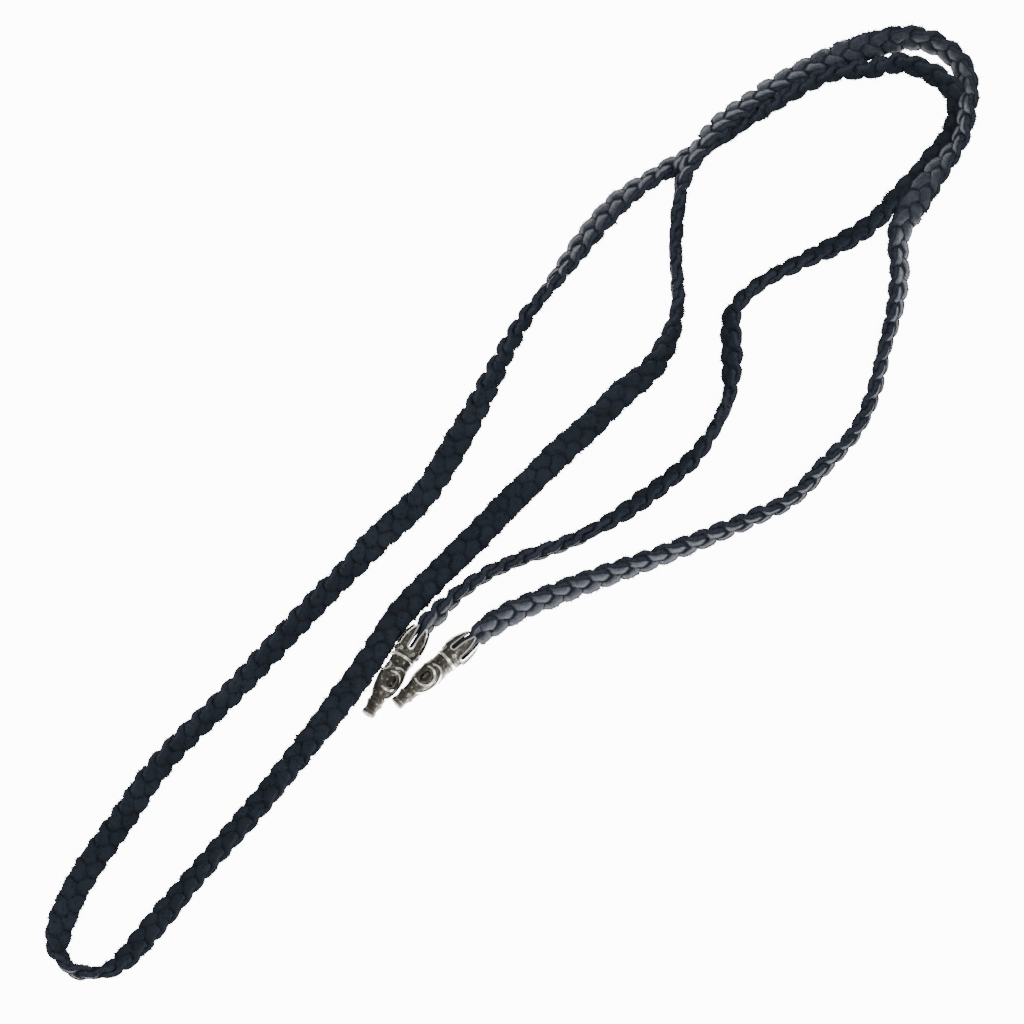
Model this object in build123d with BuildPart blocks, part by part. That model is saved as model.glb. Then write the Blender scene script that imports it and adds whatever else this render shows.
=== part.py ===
from build123d import *
from bisect import bisect_right
from math import asin, cos, degrees, dist, pi, radians, sin
import os

# A leather necklace cord laid loosely doubled on a table: one long flat plait of three laces with a
# cast silver end on each tip. The table is z = 0, +X runs to the right and +Y away from the viewer.
# Lengths are millimetres. The origin is on the table under the middle of the laid cord.

# Plait
PLAIT_WIDTH = 7.2
PLAIT_THICKNESS = 3.4
PLAIT_PITCH = 15.4          # a lace is back on the same side after this much plait
LACE_WIDTH = 2.5
LACE_THICKNESS = 1.1
LACE_BEVEL = 0.5            # width of a lace's flat face as a share of the lace
STATIONS_PER_PITCH = 6
SHOULDER = 0.42             # how far out the plait's thick part reaches, as a share of the laces' swing
HELD_STATIONS = 1           # the laces run side by side up to here before they start to cross
RING_REACH = 0.1            # stations ahead and behind that a lace's cross-section is square to

# Bundle of the three laces inside each silver end
BUNDLE_LACE_WIDTH = 1.5
BUNDLE_LACE_THICKNESS = 1.15
BUNDLE_GAP = 0.12           # between the laces in the bundle
BUNDLE_EASE = 0.1           # room at the bundle's middle
TAPER_LENGTH = 5.5          # the plait narrows to the bundle over this much
SOCKET_CLEARANCE = 0.15     # between the bundle and the bore

# Silver ends
END_LENGTH = 26.0
END_RADIUS = 3.42           # at the belly of the petalled bell
SOCKET_DEPTH = 8.0
BELL_WALL = 0.85
RELIEF = 0.28               # how far rims and scrolls stand up
RIM_WIDTH = 0.38            # rim along each slot between two petals
PETALS = 6
SLOT_LENGTH = 6.5
SLOT_WIDTH = 1.15
PETAL_TIP_WIDTH = 0.4
SCROLL_GROUPS = 2           # the same scrolls again round the body
SCROLL_TURN = 80.0          # angle of the first group's middle
SCROLL_WIDTH = 0.5
POCKET_LENGTH = 3.1         # oval hollow inside the inner scroll
POCKET_WIDTH = 1.9
POCKET_DEPTH = 0.7
EYE_RADIUS = 0.5            # raised ring at the foot of each petal
EYE_WIDTH = 0.24
EYE_DOT_RADIUS = 0.12
PIT_RADIUS = 0.5
PIT_DEPTH = 0.45

# Turned outline of an end: share of its length from the tip, share of its radius
BUTTON = [(0.000, 0.43), (0.010, 0.52), (0.046, 0.52), (0.054, 0.47), (0.085, 0.47), (0.119, 0.57),
          (0.128, 0.62), (0.142, 0.62), (0.149, 0.56)]
BODY = [(0.149, 0.56), (0.21, 0.58), (0.30, 0.75), (0.385, 0.85), (0.47, 0.88), (0.545, 0.83)]
COLLAR = [(0.545, 0.83), (0.55, 0.80), (0.631, 0.84), (0.636, 0.95), (0.662, 0.95), (0.666, 0.84)]
BELL = [(0.666, 0.84), (0.712, 0.94), (0.781, 1.00), (0.865, 0.95), (0.942, 0.80), (1.000, 0.62)]
BODY_REST, BELL_REST = BODY[4], BELL[2]     # the two rows whose rings lie on the table
EYE_STATION = 0.715                         # share of the length

# Arcs of one group of C scrolls: turn from the group's middle in degrees; middle of the arc across, in
# shares of the radius, and along, in shares of the length; its radius as a share of the end's radius;
# where it starts and how far it runs, in degrees
SCROLL_ARCS = [(30, -0.82, 0.362, 1.44, -57, 112), (30, -0.35, 0.473, 0.48, 44, 104),
               (0, -0.15, 0.381, 0.72, -118, 240), (-71, -0.12, 0.508, 0.40, -95, 190)]
POCKET_PLACE = (-0.08, 0.379)               # across and along, in the same shares

# Middle of the laid cord in the route's own numbers
CENTRE = (0.8, 0.0)

# Headings of the two ends, from tip to mouth, in degrees from +X, and their turn about their own axis
TAIL_HEADING, TAIL_TURN = 58.5, 37.6
HEAD_HEADING, HEAD_TURN = 41.3, 19.7

# Route of the plait's middle line from the mouth of one end to the mouth of the other: x and y on the
# table, height over where it would rest, and roll of the smooth face in degrees about the way of travel
# (0 looks up, 90 to the left, -90 to the right, 180 down). Points chosen by hand along the laid cord.
ROUTE = [
    (-22.5, -33.8, 0, -72), (-19, -30, 0, -72), (-15, -26, 0, -87), (-9, -21, 0, -96),
    (3, -15, 0, -99), (16, -10, 0, -100), (28.5, -2.5, 0, -127), (39.5, 6, 0, -126),
    (44.5, 10.5, 0, -124), (52, 21.5, 0, -99), (54.5, 28, 0, -100), (55, 35, 0, -122),
    (55, 42, 0, -122), (55, 48.5, 0, -119), (58.5, 54, 0, -111), (68.5, 61, 0, -118),
    (81, 67.5, 0, -134), (87, 71, 0, -137), (92.5, 75.5, 0, -128), (97, 80.5, 0, -140),
    (102, 85.5, 0, -155), (106, 90.5, 0, -155), (110, 95.5, 0, -155), (112, 101.5, 0, -140),
    (111.5, 106.5, 0, -120), (108, 111, 0, -112), (103, 114, 0, -106), (97, 115.5, 0, -102),
    (90.5, 114, 0, -98), (84, 113.5, 0, -92), (71, 108, 0, -90), (58, 99.5, 0, -80),
    (51.5, 95, 0, -75), (45.5, 91.5, 0, -50), (34, 84.5, 0, -51), (28.5, 80.5, 0, -39),
    (23.5, 75.5, 0, -34), (19, 70, 0, -39), (11, 58.5, 0, -64), (2, 46, 0, -100),
    (-2, 38.5, 0, -109), (-6, 30.5, 0, -122), (-10, 22.5, 0, -137), (-14.5, 14.5, 0, -156),
    (-19, 6.5, 0, -145), (-25, -1.5, 0, -150), (-32, -8, 0, -167), (-39, -16, 0, -133),
    (-46, -23.5, 0, -127), (-60, -39, 0, -130), (-75, -55.5, 0, -122), (-90, -72, 0, -133),
    (-96, -81.5, 0, -144), (-102.5, -91, 0, -155), (-108.5, -101, 0, -172), (-112.5, -111, 0, -152),
    (-113, -118, 0, -124), (-110.5, -122, 0, -98), (-106.5, -123.5, 0, -96), (-100, -122.5, 0, -122),
    (-94, -117, 0, -146), (-80.5, -100, 0, -142), (-65, -81.5, 0, -147), (-50, -62, 0, -158),
    (-42, -51, 0, -171), (-34.4, -39.7, 0, -167), (-27.4, -28.7, 0, -179), (-19, -19.5, 0, -177),
    (-2, -1.5, 0, -184), (6, 7, 0, -180), (14, 15, 0, -195), (21.5, 22, 0, -222),
    (28, 29, 0, -219), (34.5, 34.5, 0, -236), (38.5, 41, 0, -242), (41, 48, 0, -262),
    (41, 64, 0, -271), (42, 79, 2.4, -274), (43.5, 85, 5.2, -296), (47.5, 91, 7, -311),
    (52.5, 98, 5.2, -318), (59, 104, 2.2, -320), (66, 109.5, 0.3, -321), (73, 113.5, 0, -328),
    (86.5, 119.5, 0, -366), (93.5, 121.4, 0, -396), (100.5, 122.3, 0, -420), (107, 120.2, 0.3, -426),
    (112.5, 115, 1.4, -424), (114.5, 108, 3.4, -421), (114, 100, 5, -425), (112, 93, 4.5, -420),
    (108, 87.5, 4.7, -400), (104, 82, 4.2, -375), (100, 76.5, 2.3, -342), (97, 70.5, 0.5, -312),
    (97, 63, 0, -302), (95, 47, 0, -283), (93, 39, 0, -273), (91, 30.5, 0, -278),
    (88, 22, 0, -269), (83, 14.5, 0, -271), (77, 8, 0, -276), (70.5, 1, 0, -273),
    (62.5, -3.5, 0, -271), (45.5, -11, 0, -281), (29, -17.5, 0, -288), (13, -23.5, 0, -298),
    (6, -26.5, 0, -298), (-0.5, -29.5, 0, -302), (-9.5, -36, 0, -300),
]

# Worked out from the sizes above
SPREAD = (PLAIT_WIDTH - LACE_WIDTH) / 2                 # how far a lace swings to each side
# how far it rises and dips: the stations nearest to the top of its wave stand 15 degrees from it
WEAVE = (PLAIT_THICKNESS - LACE_THICKNESS) / 2 / sin(radians(60))
BUNDLE_RADIUS = (BUNDLE_LACE_THICKNESS + BUNDLE_GAP) / 2 / sin(radians(60)) + BUNDLE_EASE
BUNDLE_REACH = BUNDLE_RADIUS + BUNDLE_LACE_WIDTH / 2    # outermost point of the bundle
BORE_RADIUS = BUNDLE_REACH + SOCKET_CLEARANCE
END_TILT = asin(END_RADIUS * (BELL_REST[1] - BODY_REST[1]) / (END_LENGTH * (BELL_REST[0] - BODY_REST[0])))


def end_axis_height(station):
    """Height of a lying end's axis over the table, at a distance from its tip."""
    return END_RADIUS * BODY_REST[1] + RELIEF + (station - END_LENGTH * BODY_REST[0]) * sin(END_TILT)


def resting_height(roll):
    """Half the height that the plait takes up when it rests on the table with this roll."""
    upright, flat = abs(sin(radians(roll))), abs(cos(radians(roll)))
    shoulder = (PLAIT_WIDTH - LACE_WIDTH) * SHOULDER
    return max(PLAIT_WIDTH / 2 * upright, shoulder * upright + PLAIT_THICKNESS / 2 * flat)


def smooth_curve(knots, rows):
    """A natural cubic through the rows, as a function of the distance along the knots."""
    count, width = len(knots), len(rows[0])
    gaps = [b - a for a, b in zip(knots, knots[1:])]
    bends = []
    for column in range(width):
        values = [row[column] for row in rows]
        slopes = [(b - a) / gap for a, b, gap in zip(values, values[1:], gaps)]
        upper, right = [0.0], [0.0]
        for i in range(1, count - 1):
            pivot = 2 * (gaps[i - 1] + gaps[i]) - gaps[i - 1] * upper[-1]
            right.append((6 * (slopes[i] - slopes[i - 1]) - gaps[i - 1] * right[-1]) / pivot)
            upper.append(gaps[i] / pivot)
        bend = [0.0] * count
        for i in range(count - 2, 0, -1):
            bend[i] = right[i] - upper[i] * bend[i + 1]
        bends.append((values, slopes, bend))

    def at(distance):
        i = min(max(bisect_right(knots, distance) - 1, 0), count - 2)
        gap, ahead = gaps[i], distance - knots[i]
        behind = gap - ahead
        found = []
        for values, slopes, bend in bends:
            straight = values[i] + slopes[i] * ahead
            curved = (bend[i] * behind * (behind**2 - gap**2) + bend[i + 1] * ahead * (ahead**2 - gap**2))
            found.append(straight + curved / (6 * gap))
        return found

    return at


def heading_vector(heading):
    """The way an end points, from its tip to its mouth, tilted as it lies."""
    flat = Vector(cos(radians(heading)), sin(radians(heading)), 0)
    return flat * cos(END_TILT) + Vector(0, 0, sin(END_TILT))


def mouth_point(row):
    """Where the plait leaves an end, on that end's axis."""
    return Vector(row[0] - CENTRE[0], row[1] - CENTRE[1], end_axis_height(END_LENGTH))


# Middle line of the plait, with a straight stretch inside each socket
tail_axis, head_axis = heading_vector(TAIL_HEADING), heading_vector(HEAD_HEADING)
tail_mouth, head_mouth = mouth_point(ROUTE[0]), mouth_point(ROUTE[-1])
tail_rise = tail_mouth.Z - resting_height(ROUTE[0][3])
head_rise = head_mouth.Z - resting_height(ROUTE[-1][3])
rises = [tail_rise, *(row[2] for row in ROUTE[1:-1]), head_rise]
rows = [(row[0] - CENTRE[0], row[1] - CENTRE[1], rise, row[3]) for row, rise in zip(ROUTE, rises)]
knots = [0.0]
for before, after in zip(rows, rows[1:]):
    knots.append(knots[-1] + dist(before[:2], after[:2]))
curve = smooth_curve(knots, rows)


def middle(distance):
    """Point of the middle line and its roll, at a distance measured along the table."""
    x, y, rise, roll = curve(distance)
    return Vector(x, y, resting_height(roll) + max(rise, 0.0)), roll


TABLE_STEP = 0.5
steps = int(knots[-1] / TABLE_STEP)
table_marks = [knots[-1] * i / steps for i in range(steps + 1)]
true_marks = [0.0]
for before, after in zip(table_marks, table_marks[1:]):
    true_marks.append(true_marks[-1] + (middle(after)[0] - middle(before)[0]).length)
PLAIT_LENGTH = true_marks[-1]


def along(length):
    """Point of the plait at a true length from the first mouth, and its ways across and of its face."""
    if length <= 0:
        spot, roll = tail_mouth + tail_axis * length, ROUTE[0][3]
        travel = tail_axis
    elif length >= PLAIT_LENGTH:
        spot, roll = head_mouth - head_axis * (length - PLAIT_LENGTH), ROUTE[-1][3]
        travel = head_axis * -1
    else:
        i = min(bisect_right(true_marks, length) - 1, steps - 1)
        share = (length - true_marks[i]) / (true_marks[i + 1] - true_marks[i])
        mark = table_marks[i] + share * (table_marks[i + 1] - table_marks[i])
        spot, roll = middle(mark)
        travel = (middle(min(mark + 1, knots[-1]))[0] - middle(max(mark - 1, 0))[0]).normalized()
    left = Vector(0, 0, 1).cross(travel).normalized()
    up = travel.cross(left)
    face = up * cos(radians(roll)) + left * sin(radians(roll))
    return spot, face.cross(travel), face


def smooth_step(share):
    """0 to 1 with level ends."""
    share = min(max(share, 0.0), 1.0)
    return share * share * (3 - 2 * share)


PITCHES = round(PLAIT_LENGTH / PLAIT_PITCH)
LAST_STATION = STATIONS_PER_PITCH * PITCHES
PACE = PLAIT_LENGTH / LAST_STATION                      # plait between two stations


def fullness(station):
    """How far the plait has opened from the bundle: 0 at a mouth, 1 from the end of the taper on."""
    return smooth_step(PACE * min(station, LAST_STATION - station) / TAPER_LENGTH)


def lace_middle(number, station):
    """Middle of one lace at a station of the plait, and the way that the plait's smooth face looks."""
    held = min(max(station, HELD_STATIONS), LAST_STATION - HELD_STATIONS)
    turn = pi / 2 + 2 * pi * held / STATIONS_PER_PITCH + 2 * pi * number / 3
    full = fullness(station)
    spread = BUNDLE_RADIUS + full * (SPREAD - BUNDLE_RADIUS)
    weave = BUNDLE_RADIUS + full * (WEAVE - BUNDLE_RADIUS)
    spot, across, face = along(PACE * station)
    return spot + across * (spread * sin(turn)) + face * (weave * sin(2 * turn)), face


def lace_ring(number, station):
    """The six corners of one lace where it crosses a station of the plait."""
    centre, face = lace_middle(number, station)
    ahead = lace_middle(number, station + RING_REACH)[0]
    behind = lace_middle(number, station - RING_REACH)[0]
    path = (ahead - behind).normalized()
    side = face.cross(path).normalized()
    top = path.cross(side)
    full = fullness(station)
    half = (BUNDLE_LACE_WIDTH + full * (LACE_WIDTH - BUNDLE_LACE_WIDTH)) / 2
    thick = (BUNDLE_LACE_THICKNESS + full * (LACE_THICKNESS - BUNDLE_LACE_THICKNESS)) / 2
    flat = half * LACE_BEVEL
    corners = [(-half, 0), (-flat, -thick), (flat, -thick), (half, 0), (flat, thick), (-flat, thick)]
    return [centre + side * x + top * y for x, y in corners]


def lace_solid(number):
    """One lace of the plait from socket to socket, as flat triangles between its rings."""
    inside = (SOCKET_DEPTH - SOCKET_CLEARANCE) / PACE
    stations = [-inside, *range(LAST_STATION + 1), LAST_STATION + inside]
    rings = [lace_ring(number, station) for station in stations]
    sides = []
    for near, far in zip(rings, rings[1:]):
        for a, b, c, d in zip(near, near[1:] + near[:1], far[1:] + far[:1], far):
            sides += [(a, b, c), (a, c, d)]
    caps = [tuple(reversed(rings[0])), tuple(rings[-1])]
    return Solid(Shell([Face(Wire.make_polygon(corners, close=True)) for corners in sides + caps]))


def outline(table, extra=0.0):
    """Points of the turned outline, its radius changed by a length."""
    return [(END_RADIUS * radius + extra, END_LENGTH * station) for station, radius in table]


def outward(angle, station):
    """Plane on the axis of an end that looks out at an angle, with its Y towards the mouth."""
    out = (cos(radians(angle)), sin(radians(angle)), 0)
    return Plane(origin=(0, 0, station), x_dir=(-out[1], out[0], 0), z_dir=out)


OUTSIDE = 2 * END_RADIUS
SLOT_FOOT = END_LENGTH - SLOT_LENGTH
mouth_radius = END_RADIUS * BELL[-1][1]
slot_mouth = 2 * mouth_radius * sin(pi / PETALS) - PETAL_TIP_WIDTH


def slot_outline(border, top):
    """Lancet slot between two petals, grown by a border, from its round foot to a height over it."""
    half, mouth = SLOT_WIDTH / 2 + border, slot_mouth / 2 + border
    foot, waist = SLOT_WIDTH / 2, SLOT_LENGTH / 2
    with BuildSketch(mode=Mode.PRIVATE) as slot:
        with BuildLine():
            Polyline((-half, foot), (-half, waist), (-mouth, SLOT_LENGTH), (-mouth, top), (mouth, top),
                     (mouth, SLOT_LENGTH), (half, waist), (half, foot))
            ThreePointArc((-half, foot), (0, -border), (half, foot))
        make_face()
    return slot.sketch


# The body out to the height of its scrolls, which each scroll is trimmed to
with BuildPart() as scroll_limit:
    with BuildSketch(Plane.XZ):
        with BuildLine():
            skin = outline(BODY, RELIEF)
            Spline(*skin)
            Polyline(skin[-1], (0, skin[-1][1]), (0, skin[0][1]), skin[0])
        make_face()
    revolve(axis=Axis.Z)

# Raised C scrolls round the body
scrolls = []
for group in range(SCROLL_GROUPS):
    for turn, across, station, radius, start, run in SCROLL_ARCS:
        angle = SCROLL_TURN + 360 / SCROLL_GROUPS * group + turn
        with BuildPart() as scroll:
            with BuildSketch(outward(angle, END_LENGTH * station)):
                with BuildLine():
                    CenterArc((END_RADIUS * across, 0), END_RADIUS * radius, start, run)
                trace(line_width=SCROLL_WIDTH)
            extrude(amount=OUTSIDE)
            add(scroll_limit.part, mode=Mode.INTERSECT)
        scrolls.append(scroll.part)

# Oval hollows inside the scrolls
with BuildPart() as pockets:
    for group in range(SCROLL_GROUPS):
        angle = SCROLL_TURN + 360 / SCROLL_GROUPS * group
        with BuildSketch(outward(angle, END_LENGTH * POCKET_PLACE[1])):
            with Locations((END_RADIUS * POCKET_PLACE[0], 0)):
                SlotOverall(POCKET_LENGTH, POCKET_WIDTH, rotation=90)
        extrude(amount=OUTSIDE)
    with BuildSketch(Plane.XZ):
        with BuildLine():
            core = outline(BODY, -POCKET_DEPTH)
            Spline(*core)
            Polyline(core[-1], (0, core[-1][1]), (0, core[0][1]), core[0])
        make_face()
    revolve(axis=Axis.Z, mode=Mode.SUBTRACT)

# Raised rims along the slots of the bell, and a ring with a dot at the foot of each petal
with BuildPart() as rims:
    for index in range(PETALS):
        with BuildSketch(outward(360 / PETALS * index, SLOT_FOOT)):
            add(slot_outline(RIM_WIDTH, SLOT_LENGTH + RIM_WIDTH))
        extrude(amount=OUTSIDE)
        with BuildSketch(outward(360 / PETALS * (index + 0.5), END_LENGTH * EYE_STATION)):
            Circle(EYE_RADIUS)
            Circle(EYE_RADIUS - EYE_WIDTH, mode=Mode.SUBTRACT)
            Circle(EYE_DOT_RADIUS)
        extrude(amount=OUTSIDE)
    with BuildSketch(Plane.XZ):
        with BuildLine():
            skin = outline(BELL, RELIEF)
            Spline(*skin)
            Polyline(skin[-1], (0, skin[-1][1]), (0, skin[0][1]), skin[0])
        make_face()
    revolve(axis=Axis.Z, mode=Mode.INTERSECT)

# One cast end, its tip at the origin and its axis up
with BuildPart() as casting:
    with BuildSketch(Plane.XZ):
        with BuildLine():
            Polyline((0, 0), *outline(BUTTON))
            Spline(*outline(BODY))
            Polyline(*outline(COLLAR))
            Spline(*outline(BELL))
            Polyline(outline(BELL)[-1], (0, END_LENGTH), (0, 0))
        make_face()
    revolve(axis=Axis.Z)
    for arc in scrolls:
        add(arc)
    add(rims.part)
    add(pockets.part, mode=Mode.SUBTRACT)
    # hollow of the bell, with the round bore at its foot and mouth
    with BuildSketch(Plane.XZ):
        with BuildLine():
            belly = END_RADIUS - BELL_WALL
            foot, rise = END_LENGTH - SOCKET_DEPTH, END_LENGTH * BELL[2][0]
            Line((0, foot), (BORE_RADIUS, foot))
            Spline((BORE_RADIUS, foot), (belly, rise), (BORE_RADIUS, END_LENGTH))
            over = END_LENGTH + 1
            Polyline((BORE_RADIUS, END_LENGTH), (BORE_RADIUS, over), (0, over), (0, foot))
        make_face()
    revolve(axis=Axis.Z, mode=Mode.SUBTRACT)
    for index in range(PETALS):
        with BuildSketch(outward(360 / PETALS * index, SLOT_FOOT)):
            add(slot_outline(0, SLOT_LENGTH + RIM_WIDTH))
        extrude(amount=OUTSIDE, mode=Mode.SUBTRACT)
    with BuildSketch(Plane.XY):
        Circle(PIT_RADIUS)
    extrude(amount=PIT_DEPTH, mode=Mode.SUBTRACT)


def seat(mouth, axis, turn):
    """Place of a cast end whose mouth and axis are given, turned about its axis from its left side up."""
    left = Vector(0, 0, 1).cross(axis)
    place = Plane(origin=mouth - axis * END_LENGTH, x_dir=left, z_dir=axis)
    return place.location * Location((0, 0, 0), (0, 0, turn))


os.makedirs("parts", exist_ok=True)

with BuildPart() as end_cap_tail:
    add(casting.part.moved(seat(tail_mouth, tail_axis, TAIL_TURN)))
end_cap_tail.part.label = "end_cap_tail"
export_step(end_cap_tail.part, "parts/end_cap_tail.step")

with BuildPart() as end_cap_head:
    add(casting.part.moved(seat(head_mouth, head_axis, HEAD_TURN)))
end_cap_head.part.label = "end_cap_head"
export_step(end_cap_head.part, "parts/end_cap_head.step")

for number in range(3):
    with BuildPart() as lace:
        add(lace_solid(number), clean=False)
    lace.part.label = f"lace_{number + 1}"
    export_step(lace.part, f"parts/lace_{number + 1}.step")

print(f"plait {PLAIT_LENGTH:.0f} mm, {PITCHES} pitches, ends tilted {degrees(END_TILT):.1f} degrees")
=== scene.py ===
"""Looks of a leather necklace cord laid doubled on a pale table: three plaited laces, smooth on one
side and suede on the other, their fuzz, and the two oxidised silver ends. Fields are in millimetres."""

import logging
from dataclasses import dataclass
from enum import Enum
from math import asin, cos, pi, radians, sin

import bpy
import numpy as np
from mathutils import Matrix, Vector


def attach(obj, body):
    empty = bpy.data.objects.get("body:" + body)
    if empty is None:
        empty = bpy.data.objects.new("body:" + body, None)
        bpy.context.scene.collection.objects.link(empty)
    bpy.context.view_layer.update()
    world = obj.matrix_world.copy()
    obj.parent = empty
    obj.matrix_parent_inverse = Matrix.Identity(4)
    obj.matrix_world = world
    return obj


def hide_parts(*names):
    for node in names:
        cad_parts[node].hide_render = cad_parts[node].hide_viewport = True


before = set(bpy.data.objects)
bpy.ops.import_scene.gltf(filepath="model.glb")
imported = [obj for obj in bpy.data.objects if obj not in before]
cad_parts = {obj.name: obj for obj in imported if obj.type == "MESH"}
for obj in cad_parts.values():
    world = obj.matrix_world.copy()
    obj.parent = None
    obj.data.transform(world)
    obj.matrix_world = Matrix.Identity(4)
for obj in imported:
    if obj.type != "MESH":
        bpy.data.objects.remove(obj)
log = logging.getLogger("necklace_cord")
MM = 0.001
LACES = 3
TABLE_GAP = 0.02            # least height of leather over the table
WHITE = (1.0, 1.0, 1.0, 1.0)

# Route of the plait's middle line, as in the CAD source: x and y on the table, height over where it
# would rest, and roll of the smooth face in degrees.
ROUTE = [
    (-22.5, -33.8, 0, -72), (-19, -30, 0, -72), (-15, -26, 0, -87), (-9, -21, 0, -96),
    (3, -15, 0, -99), (16, -10, 0, -100), (28.5, -2.5, 0, -127), (39.5, 6, 0, -126),
    (44.5, 10.5, 0, -124), (52, 21.5, 0, -99), (54.5, 28, 0, -100), (55, 35, 0, -122),
    (55, 42, 0, -122), (55, 48.5, 0, -119), (58.5, 54, 0, -111), (68.5, 61, 0, -118),
    (81, 67.5, 0, -134), (87, 71, 0, -137), (92.5, 75.5, 0, -128), (97, 80.5, 0, -140),
    (102, 85.5, 0, -155), (106, 90.5, 0, -155), (110, 95.5, 0, -155), (112, 101.5, 0, -140),
    (111.5, 106.5, 0, -120), (108, 111, 0, -112), (103, 114, 0, -106), (97, 115.5, 0, -102),
    (90.5, 114, 0, -98), (84, 113.5, 0, -92), (71, 108, 0, -90), (58, 99.5, 0, -80),
    (51.5, 95, 0, -75), (45.5, 91.5, 0, -50), (34, 84.5, 0, -51), (28.5, 80.5, 0, -39),
    (23.5, 75.5, 0, -34), (19, 70, 0, -39), (11, 58.5, 0, -64), (2, 46, 0, -100),
    (-2, 38.5, 0, -109), (-6, 30.5, 0, -122), (-10, 22.5, 0, -137), (-14.5, 14.5, 0, -156),
    (-19, 6.5, 0, -145), (-25, -1.5, 0, -150), (-32, -8, 0, -167), (-39, -16, 0, -133),
    (-46, -23.5, 0, -127), (-60, -39, 0, -130), (-75, -55.5, 0, -122), (-90, -72, 0, -133),
    (-96, -81.5, 0, -144), (-102.5, -91, 0, -155), (-108.5, -101, 0, -172), (-112.5, -111, 0, -152),
    (-113, -118, 0, -124), (-110.5, -122, 0, -98), (-106.5, -123.5, 0, -96), (-100, -122.5, 0, -122),
    (-94, -117, 0, -146), (-80.5, -100, 0, -142), (-65, -81.5, 0, -147), (-50, -62, 0, -158),
    (-42, -51, 0, -171), (-34.4, -39.7, 0, -167), (-27.4, -28.7, 0, -179), (-19, -19.5, 0, -177),
    (-2, -1.5, 0, -184), (6, 7, 0, -180), (14, 15, 0, -195), (21.5, 22, 0, -222),
    (28, 29, 0, -219), (34.5, 34.5, 0, -236), (38.5, 41, 0, -242), (41, 48, 0, -262),
    (41, 64, 0, -271), (42, 79, 2.4, -274), (43.5, 85, 5.2, -296), (47.5, 91, 7, -311),
    (52.5, 98, 5.2, -318), (59, 104, 2.2, -320), (66, 109.5, 0.3, -321), (73, 113.5, 0, -328),
    (86.5, 119.5, 0, -366), (93.5, 121.4, 0, -396), (100.5, 122.3, 0, -420), (107, 120.2, 0.3, -426),
    (112.5, 115, 1.4, -424), (114.5, 108, 3.4, -421), (114, 100, 5, -425), (112, 93, 4.5, -420),
    (108, 87.5, 4.7, -400), (104, 82, 4.2, -375), (100, 76.5, 2.3, -342), (97, 70.5, 0.5, -312),
    (97, 63, 0, -302), (95, 47, 0, -283), (93, 39, 0, -273), (91, 30.5, 0, -278),
    (88, 22, 0, -269), (83, 14.5, 0, -271), (77, 8, 0, -276), (70.5, 1, 0, -273),
    (62.5, -3.5, 0, -271), (45.5, -11, 0, -281), (29, -17.5, 0, -288), (13, -23.5, 0, -298),
    (6, -26.5, 0, -298), (-0.5, -29.5, 0, -302), (-9.5, -36, 0, -300),
]


class Side(Enum):
    """What a point of a lace's skin is."""

    SUEDE = 0.0
    EDGE = 0.5
    BORDER = 0.72
    GRAIN = 1.0


@dataclass(frozen=True)
class CadSizes:
    """Sizes that drive the CAD source, repeated so that the looks follow the same lines."""

    plait_width: float = 7.2
    plait_thickness: float = 3.4
    plait_pitch: float = 15.4
    lace_width: float = 2.5
    shoulder: float = 0.42
    stations_per_pitch: int = 6
    held_stations: int = 1
    bundle_lace_width: float = 1.5
    bundle_lace_thickness: float = 1.15
    bundle_gap: float = 0.12
    end_length: float = 26.0
    end_radius: float = 3.42
    socket_depth: float = 8.0
    socket_clearance: float = 0.15
    relief: float = 0.28
    body_rest: tuple[float, float] = (0.47, 0.88)
    bell_rest: tuple[float, float] = (0.781, 1.00)
    centre: tuple[float, float] = (0.8, 0.0)
    tail_heading: float = 58.5
    head_heading: float = 41.3

    @property
    def end_tilt(self) -> float:
        """Angle that a lying end makes with the table, in radians."""
        rise = self.end_radius * (self.bell_rest[1] - self.body_rest[1])
        return asin(rise / (self.end_length * (self.bell_rest[0] - self.body_rest[0])))

    @property
    def mouth_height(self) -> float:
        """Height of an end's axis over the table at its mouth."""
        ahead = self.end_length * (1 - self.body_rest[0])
        return self.end_radius * self.body_rest[1] + self.relief + ahead * sin(self.end_tilt)

    def axis(self, heading: float) -> np.ndarray:
        """The way an end with this heading in degrees points, from tip to mouth."""
        flat = cos(self.end_tilt)
        return np.array([cos(radians(heading)) * flat, sin(radians(heading)) * flat, sin(self.end_tilt)])

    def resting_height(self, roll: np.ndarray) -> np.ndarray:
        """Half the height that the plait takes up on the table.

        Args:
            roll: Rolls of the smooth face in degrees.

        Returns:
            One height for each roll.
        """
        upright, flat = abs(np.sin(np.radians(roll))), abs(np.cos(np.radians(roll)))
        swing = (self.plait_width - self.lace_width) * self.shoulder
        leaning = swing * upright + self.plait_thickness / 2 * flat
        return np.maximum(self.plait_width / 2 * upright, leaning)


def smooth_step(share: np.ndarray) -> np.ndarray:
    """0 to 1 with level ends."""
    share = np.clip(share, 0.0, 1.0)
    return share * share * (3 - 2 * share)


def unit(vectors: np.ndarray) -> np.ndarray:
    """The same directions at length 1."""
    return vectors / np.linalg.norm(vectors, axis=-1, keepdims=True)


def walked(points: np.ndarray) -> np.ndarray:
    """Distance walked from the first point to each point."""
    return np.concatenate([[0], np.cumsum(np.linalg.norm(np.diff(points, axis=0), axis=1))])


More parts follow.
